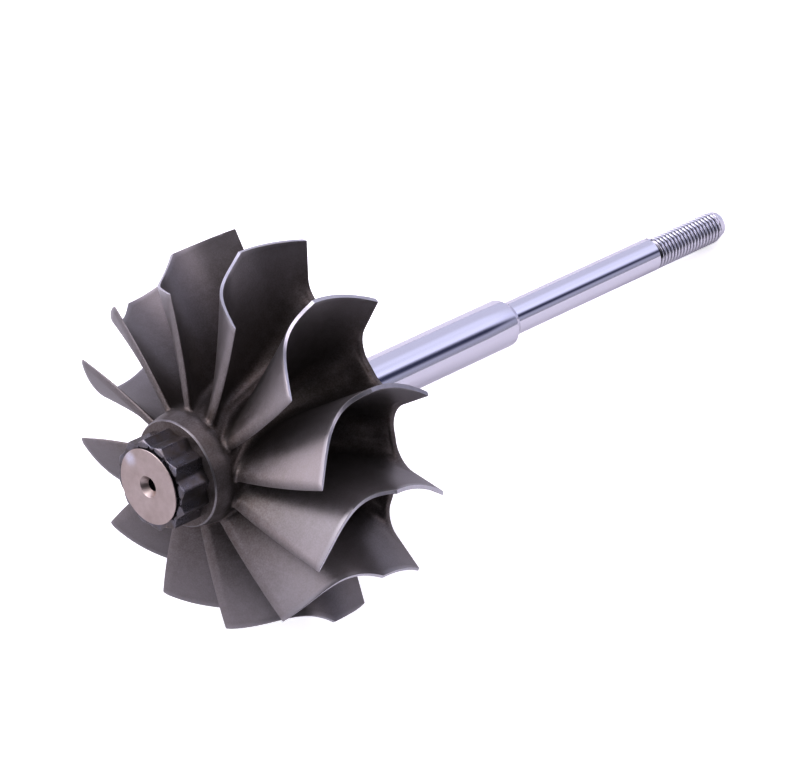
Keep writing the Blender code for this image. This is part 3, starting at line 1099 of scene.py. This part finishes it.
@dataclass
class NoseDrive(RotorPart):
    """The twelve-point drive that a socket turns, with its chamfered front."""

    name = "nose_drive_points"
    slot = Slot.DRIVE
    nodes = ("nose_drive",)
    points: int = 12
    corner: float = 9.15
    neck: float = 8.5
    chamfer: float = 0.28
    front_z: float = -38.7
    back_z: float = -32.1
    pocket: float = 3.5
    pocket_z: float = -33.0
    corner_power: float = 90.0
    corner_gain: float = 1.003
    edge_width: float = 0.06
    edge_drop: float = 0.2
    edge_shine: float = 0.12
    steps: int = 20

    def star(self, angle: np.ndarray) -> np.ndarray:
        """Give the drive's radius at each angle: two hexagons over each other, soft at the corners.

        Args:
            angle: Angles about the axis.

        Returns:
            The radius at each angle.
        """
        power, flat = self.corner_power, self.corner * math.cos(math.pi / 6) * self.corner_gain
        total = np.zeros_like(angle)
        for start in (0.0, math.pi / 6):
            sides = np.cos(angle[:, None] - start - (np.arange(6) + 0.5) * math.pi / 3) / flat
            total += 1 / (np.clip(sides, 0.0, None) ** power).sum(1)
        return total ** (1 / power)

    def draft(self) -> Draft:
        """Gather the drive: the pocket behind the end face, the chamfered front and the points.

        Returns:
            The draft.
        """
        angle = spaced(0.0, 2 * math.pi, self.points * self.steps)[:-1]
        star = self.star(angle)
        corner = np.clip((star - star.max()) / self.edge_width + 1, 0.0, 1.0)
        slope = (self.corner - self.neck) / self.chamfer
        wave = self.front_z + np.maximum(star - self.neck, 0.0) / slope
        # The shine marks paint a highlight: strong along the chamfer's outer line, faint down the points'
        # corners.
        bright, dull = self.edge_shine * (1 + 5 * corner), self.edge_shine * corner
        side = wave + self.edge_drop
        back = self.back_z + 0.1
        rings = [(0.0, self.pocket_z, 0.0), (self.pocket, self.pocket_z, 0.0),
                 (self.pocket, self.front_z, 0.0),
                 (np.minimum(star, self.neck) - 0.12, self.front_z, 0.0), (star - 0.09, wave - 0.02, 0.1),
                 (star - 0.03, wave + 0.03, bright), (star, wave + 0.11, bright)]
        rings += [(star, side + (back - side) * share, dull) for share in spaced(0.0, 1.0, 6)]
        rings.append((0.0, back, 0.0))
        shine = np.array([np.broadcast_to(mark, star.shape) for *_, mark in rings])
        draft = Draft()
        draft.patch(np.array([polar(radius, angle, z) for radius, z, _ in rings]), 0, True, edge=shine)
        return draft


@dataclass
class NoseFace(RotorPart):
    """The turned end face with its centre hole, on a short neck in front of the drive."""

    name = "nose_end_face"
    slot = Slot.FACE
    nodes = ("nose_face",)
    radius: float = 7.52
    front_z: float = -39.3
    lip: float = 0.2
    groove: float = 0.35
    mouth: float = 2.1
    drill: float = 1.25
    cone_depth: float = 1.3
    depth: float = 4.6
    pin: float = 3.4
    pin_z: float = -33.2
    sides: int = 96

    def draft(self) -> Draft:
        """Gather the face, with the hole's wall and the neck behind the face in the second slot.

        Returns:
            The draft.
        """
        front, rim, neck = self.front_z, self.radius, self.radius - self.groove
        hole, cone, back = front + self.depth, front + self.cone_depth, front + self.lip
        draft = Draft()
        draft.lathe([(0.0, hole + 0.7), (self.drill, hole), (self.drill, cone)], self.sides, 1)
        draft.lathe([(self.drill, cone), (self.mouth, front + 0.06), (self.mouth + 0.08, front),
                     (4.0, front), (6.0, front), (rim - 0.1, front), (rim, front + 0.1),
                     (rim, back - 0.03), (rim - 0.03, back)], self.sides, 0)
        draft.lathe([(rim - 0.03, back), (neck, back + 0.02), (neck, back + 0.7),
                     (self.pin, back + 0.7), (self.pin, self.pin_z), (0.0, self.pin_z)], self.sides, 1)
        return draft


@dataclass
class GroundShaft(RotorPart):
    """The turned and ground bar: seal boss, journal, shoulder and the thinner seat."""

    name = "shaft_ground_bar"
    slot = Slot.GROUND
    nodes = ("seal_boss", "shaft_journal", "shaft_stub")
    sharp = 25.0
    boss: float = 7.6
    boss_end: float = 10.0
    groove_z: float = 4.2
    groove_width: float = 1.7
    groove_depth: float = 1.3
    journal: float = 4.9
    journal_end: float = 56.6
    chamfer_end: float = 58.3
    shoulder: float = 3.65
    stub: float = 3.47
    stub_end: float = 101.4
    sides: int = 128

    def profile(self) -> list[tuple[float, float]]:
        """Give the bar's rings from the disc to the thread, with small edge breaks.

        Returns:
            Radius and z of each ring.
        """
        boss, journal, stub, shoulder = self.boss, self.journal, self.stub, self.shoulder
        edge, floor, front = 0.12, self.boss - self.groove_depth, 0.6
        first, last = self.groove_z, self.groove_z + self.groove_width
        end, step, foot, stop = self.boss_end, self.journal_end, self.chamfer_end, self.stub_end
        seal = [(0.0, front), (boss, front), (boss, first - edge), (boss - edge, first),
                (floor + 0.1, first), (floor, first + 0.1), (floor, last - 0.1), (floor + 0.1, last),
                (boss - edge, last), (boss, last + edge), (boss, end - 0.5), (boss - 0.5, end),
                (journal + 0.35, end)]
        relief = [(journal - 0.15, end - 0.1), (journal - 0.18, end + 0.9), (journal, end + 1.2)]
        bearing = [(journal, z) for z in (20.0, 34.0, 48.0, step - 0.25)]
        chamfer = [(journal - 0.03, step), (journal - 0.12, step + 0.12),
                   (shoulder + 0.12, foot - 0.12), (shoulder, foot)]
        seat = [(stub, z) for z in (foot + 0.08, 70.0, 82.0, 94.0, stop - 0.25)]
        run_out = [(stub - 0.12, stop - 0.05), (stub - 0.5, stop + 0.25), (0.0, stop + 0.25)]
        return seal + relief + bearing + chamfer + seat + run_out

    def draft(self) -> Draft:
        """Turn the profile.

        Returns:
            The draft.
        """
        draft = Draft()
        draft.lathe(self.profile(), self.sides)
        return draft


@dataclass
class ThreadedEnd(RotorPart):
    """The right-handed thread at the end of the shaft, running out on a conical tip."""

    name = "shaft_thread_cut"
    slot = Slot.THREAD
    nodes = ("shaft_thread",)
    sharp = 32.0
    start: float = 101.4
    crest: float = 3.4
    depth: float = 0.48
    pitch: float = 1.0
    cone_start: float = 119.9
    end: float = 122.6
    tip: float = 2.6
    tip_round: float = 0.12
    run_in: float = 0.6
    rings_per_turn: int = 12
    sides: int = 72

    def ridge(self, phase: np.ndarray) -> np.ndarray:
        """Give the thread's height, from 0 at the root to 1 at the crest, over one turn's phase."""
        fall = np.abs((phase % 1.0) - 0.5) * 2
        return eased(fall, 0.12, 0.62)

    def draft(self) -> Draft:
        """Gather the thread ring by ring, each mark being the depth below the crest, which the finish
        paints as shade in the grooves.

        Returns:
            The draft.
        """
        root, tip_z = self.crest - self.depth, self.end - self.tip_round
        slope = (self.crest - self.tip) / (self.end - self.cone_start)
        stop = min(self.cone_start + self.depth / slope, self.end - 0.05)
        angle = spaced(0.0, 2 * math.pi, self.sides)[:-1]
        rings, shade = [polar(0.0, angle, self.start)], [np.zeros_like(angle)]
        for z in np.arange(self.start, stop, self.pitch / self.rings_per_turn):
            lift = self.ridge((z - self.start) / self.pitch - angle / (2 * math.pi))
            cone = self.crest - slope * max(z - self.cone_start, 0.0)
            cut = root + self.depth * lift * min((z - self.start) / self.run_in, 1.0)
            radius = np.minimum(cut, cone)
            rings.append(polar(radius, angle, z))
            shade.append(np.clip((self.crest - radius) / self.depth, 0.0, 1.0) * (cone >= self.crest))
        cone_end = self.crest - slope * (tip_z - self.cone_start)
        for radius, z in ((min(root, cone_end), tip_z), (self.tip - self.tip_round, self.end),
                          (0.0, self.end)):
            rings.append(polar(radius, angle, z))
            shade.append(np.zeros_like(angle))
        draft = Draft()
        draft.patch(np.array(rings), 0, True, span=np.array(shade))
        return draft


@dataclass(frozen=True)
class Lamp:
    """One square softbox of the studio."""

    name: str
    azimuth: float
    elevation: float
    distance: float
    size: float
    radiance: float
    colour: Colour

    def hang(self) -> bpy.types.Object:
        """Put the lamp in its place, facing the rotor.

        Returns:
            The lamp.
        """
        data = bpy.data.lights.new(self.name, "AREA")
        data.shape, data.size, data.color = "SQUARE", self.size, self.colour
        data.energy = self.radiance * math.pi * self.size ** 2
        lamp = shown(bpy.data.objects.new(self.name, data))
        level, turn = math.radians(self.elevation), math.radians(self.azimuth)
        flat = math.cos(level)
        toward = Vector((flat * math.cos(turn), flat * math.sin(turn), math.sin(level)))
        lamp.location = toward * self.distance
        lamp.rotation_euler = toward.to_track_quat("Z", "Y").to_euler()
        return lamp


@dataclass(frozen=True)
class Panel:
    """A soft-edged pale stretch of the walls, in degrees about Z from +X and above the horizon."""

    azimuth: float
    half_width: float
    side_fade: float
    low: float
    high: float
    level_fade: float
    colour: Colour

    def share(self, recipe: "Recipe", direction: Wire) -> Wire:
        """Give how far a direction lies in the panel.

        Args:
            recipe: The room's tree.
            direction: The direction that is looked up.

        Returns:
            0 outside and 1 inside.
        """
        x, y, z = recipe.parts(direction)
        turn = math.radians(self.azimuth)
        across = (x * math.cos(turn) + y * math.sin(turn)) / (x * x + y * y + 1e-6).root()
        outer = math.cos(math.radians(min(self.half_width + self.side_fade, 180.0)))
        inner = math.cos(math.radians(self.half_width - self.side_fade))
        steps = [math.sin(math.radians(level + sign * self.level_fade))
                 for level in (self.low, self.high) for sign in (-1, 1)]
        return across.stepped(outer, inner) * z.stepped(*steps[:2]) * (1 - z.stepped(*steps[2:]))


@dataclass
class Studio:
    """The floor, the surroundings, the softbox and the camera."""

    camera_place: tuple[float, float, float] = (-0.38687885, -0.37096789, 0.6675784)
    camera_aim: tuple[float, float, float] = (0.44936712, 0.44540199, -0.77439413)
    camera_roll: float = math.radians(-2.958869)
    lens: float = 191.2615
    exposure: float = 0.36
    gamma: float = 0.76
    floor_size: float = 6.0
    floor_lift: float = 0.5
    gloom: Colour = (0.012, 0.012, 0.018)
    paper: Colour = (0.97, 0.965, 0.98)
    overhead: Lamp = Lamp("softbox_overhead", 52.0, 69.0, 1.2, 0.95, 1.42, (1.0, 0.93, 1.07))
    panels: tuple[Panel, ...] = (
        Panel(135.0, 22.5, 7.0, -4.0, 12.0, 3.0, (3.8, 3.5, 3.75)),
        Panel(90.0, 22.5, 7.0, 12.0, 33.0, 3.0, (1.15, 1.13, 1.38)),
        Panel(157.5, 45.0, 7.0, 12.0, 33.0, 3.0, (1.32, 1.31, 1.5)),
        Panel(135.0, 22.5, 7.0, 33.0, 60.0, 3.0, (3.15, 3.1, 3.35)),
        Panel(180.0, 22.5, 7.0, 33.0, 60.0, 3.0, (1.5, 1.42, 1.6)),
        Panel(180.0, 22.5, 7.0, -4.0, 12.0, 3.0, (0.5, 0.47, 0.54)),
        Panel(315.0, 22.5, 7.0, 33.0, 60.0, 3.0, (1.6, 1.5, 1.68)),
        Panel(23.0, 46.0, 7.0, -6.0, 37.0, 3.0, (0.62, 0.62, 0.74)),
        Panel(0.0, 20.0, 12.0, 27.0, 40.0, 4.0, (0.16, 0.17, 0.22)),
        Panel(308.0, 26.0, 6.0, -6.0, 17.0, 4.0, (0.36, 0.36, 0.42)),
        Panel(330.0, 25.0, 8.0, 8.0, 40.0, 6.0, (0.05, 0.055, 0.1)),
        Panel(0.0, 190.0, 5.0, 61.0, 89.0, 4.0, (0.3, 0.3, 0.3)),
    )

    def lay_floor(self) -> bpy.types.Object:
        """Lay the pale floor.

        Returns:
            The floor.
        """
        material = bpy.data.materials.new("pale_floor")
        recipe = Recipe(material)
        where = recipe.read("ShaderNodeTexCoord", "Object")
        cloud = recipe.noise(90.0, where, 1.0)
        colour = recipe.blend(cloud, (0.86, 0.855, 0.87), (0.88, 0.875, 0.885))
        seen = recipe.read("ShaderNodeLightPath", "Is Camera Ray")
        lift = recipe.blend(seen, (0.0, 0.0, 0.0), (self.floor_lift,) * 3)
        recipe.surface("ShaderNodeBsdfPrincipled",
                       {"Roughness": 0.75, "Specular IOR Level": 0.15, "Emission Strength": 1.0,
                        "Base Color": colour, "Emission Color": lift}, "ShaderNodeOutputMaterial")
        half = self.floor_size / 2
        mesh = bpy.data.meshes.new("floor")
        corner_signs = ((-1, -1), (1, -1), (1, 1), (-1, 1))
        mesh.from_pydata([(x * half, y * half, 0) for x, y in corner_signs], [], [(0, 1, 2, 3)])
        mesh.materials.append(material)
        floor = shown(bpy.data.objects.new("floor", mesh))
        return floor

    def surround(self) -> None:
        """Light the room with the panels, and show plain paper past the edge of the floor."""
        world = bpy.data.worlds.new("studio_room")
        bpy.context.scene.world = world
        recipe = Recipe(world)
        direction = recipe.read("ShaderNodeTexCoord", "Generated")
        room: object = self.gloom
        for panel in self.panels:
            room = recipe.blend(panel.share(recipe, direction), room, panel.colour, "ADD")
        seen = recipe.read("ShaderNodeLightPath", "Is Camera Ray")
        room = recipe.blend(seen, room, self.paper)
        recipe.surface("ShaderNodeBackground", {"Color": room, "Strength": 1.0},
                       "ShaderNodeOutputWorld")

    def set_camera(self) -> bpy.types.Object:
        """Put the camera where the photograph was taken from.

        Returns:
            The camera.
        """
        data = bpy.data.cameras.new("photo_camera")
        data.sensor_width, data.lens = 36.0, self.lens
        data.clip_start, data.clip_end = 0.01, 20.0
        camera = shown(bpy.data.objects.new("photo_camera", data))
        forward = Vector(self.camera_aim).normalized()
        side = forward.cross(Vector((0.0, 0.0, 1.0))).normalized()
        level = Matrix((side, side.cross(forward), -forward)).transposed().to_4x4()
        camera.matrix_world = (Matrix.Translation(self.camera_place) @ level
                               @ Matrix.Rotation(-self.camera_roll, 4, "Z"))
        bpy.context.scene.camera = camera
        return camera

    def build(self) -> None:
        """Set up everything round the rotor."""
        self.lay_floor()
        self.surround()
        self.overhead.hang()
        self.set_camera()
        view = bpy.context.scene.view_settings
        view.view_transform, view.exposure, view.gamma = "Standard", self.exposure, self.gamma
        LOG.info("studio: floor, room, softbox and camera")


def plain(box: tuple[Vector, Vector]) -> list[list[float]]:
    """Give a box as plain lists."""
    return [list(map(float, corner)) for corner in box]


def main() -> None:
    """Build the pieces in order."""
    logging.basicConfig(level=logging.INFO, format="%(name)s: %(message)s")
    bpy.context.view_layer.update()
    skin, edge = CastSkin().make(), GroundEdge().make()
    face, facets = TurnedFace().make(), DriveSkin().make()
    steel = GroundSteel().make()
    cut = GroundSteel("cut_thread_steel", (0.82, 0.81, 0.87), (0.68, 0.67, 0.72),
                      roughness=0.22, mark_depth=0.002).make()
    for part, finishes in ((WheelCasting(), (skin, edge)), (NoseDrive(), (facets,)),
                           (NoseFace(), (face, facets)), (GroundShaft(), (steel,)),
                           (ThreadedEnd(), (cut,))):
        thing = part.build(*finishes)
        LOG.info("%s stands for %s", thing.name, ", ".join(part.nodes))
    Studio().build()


if __name__ == "__main__":
    main()
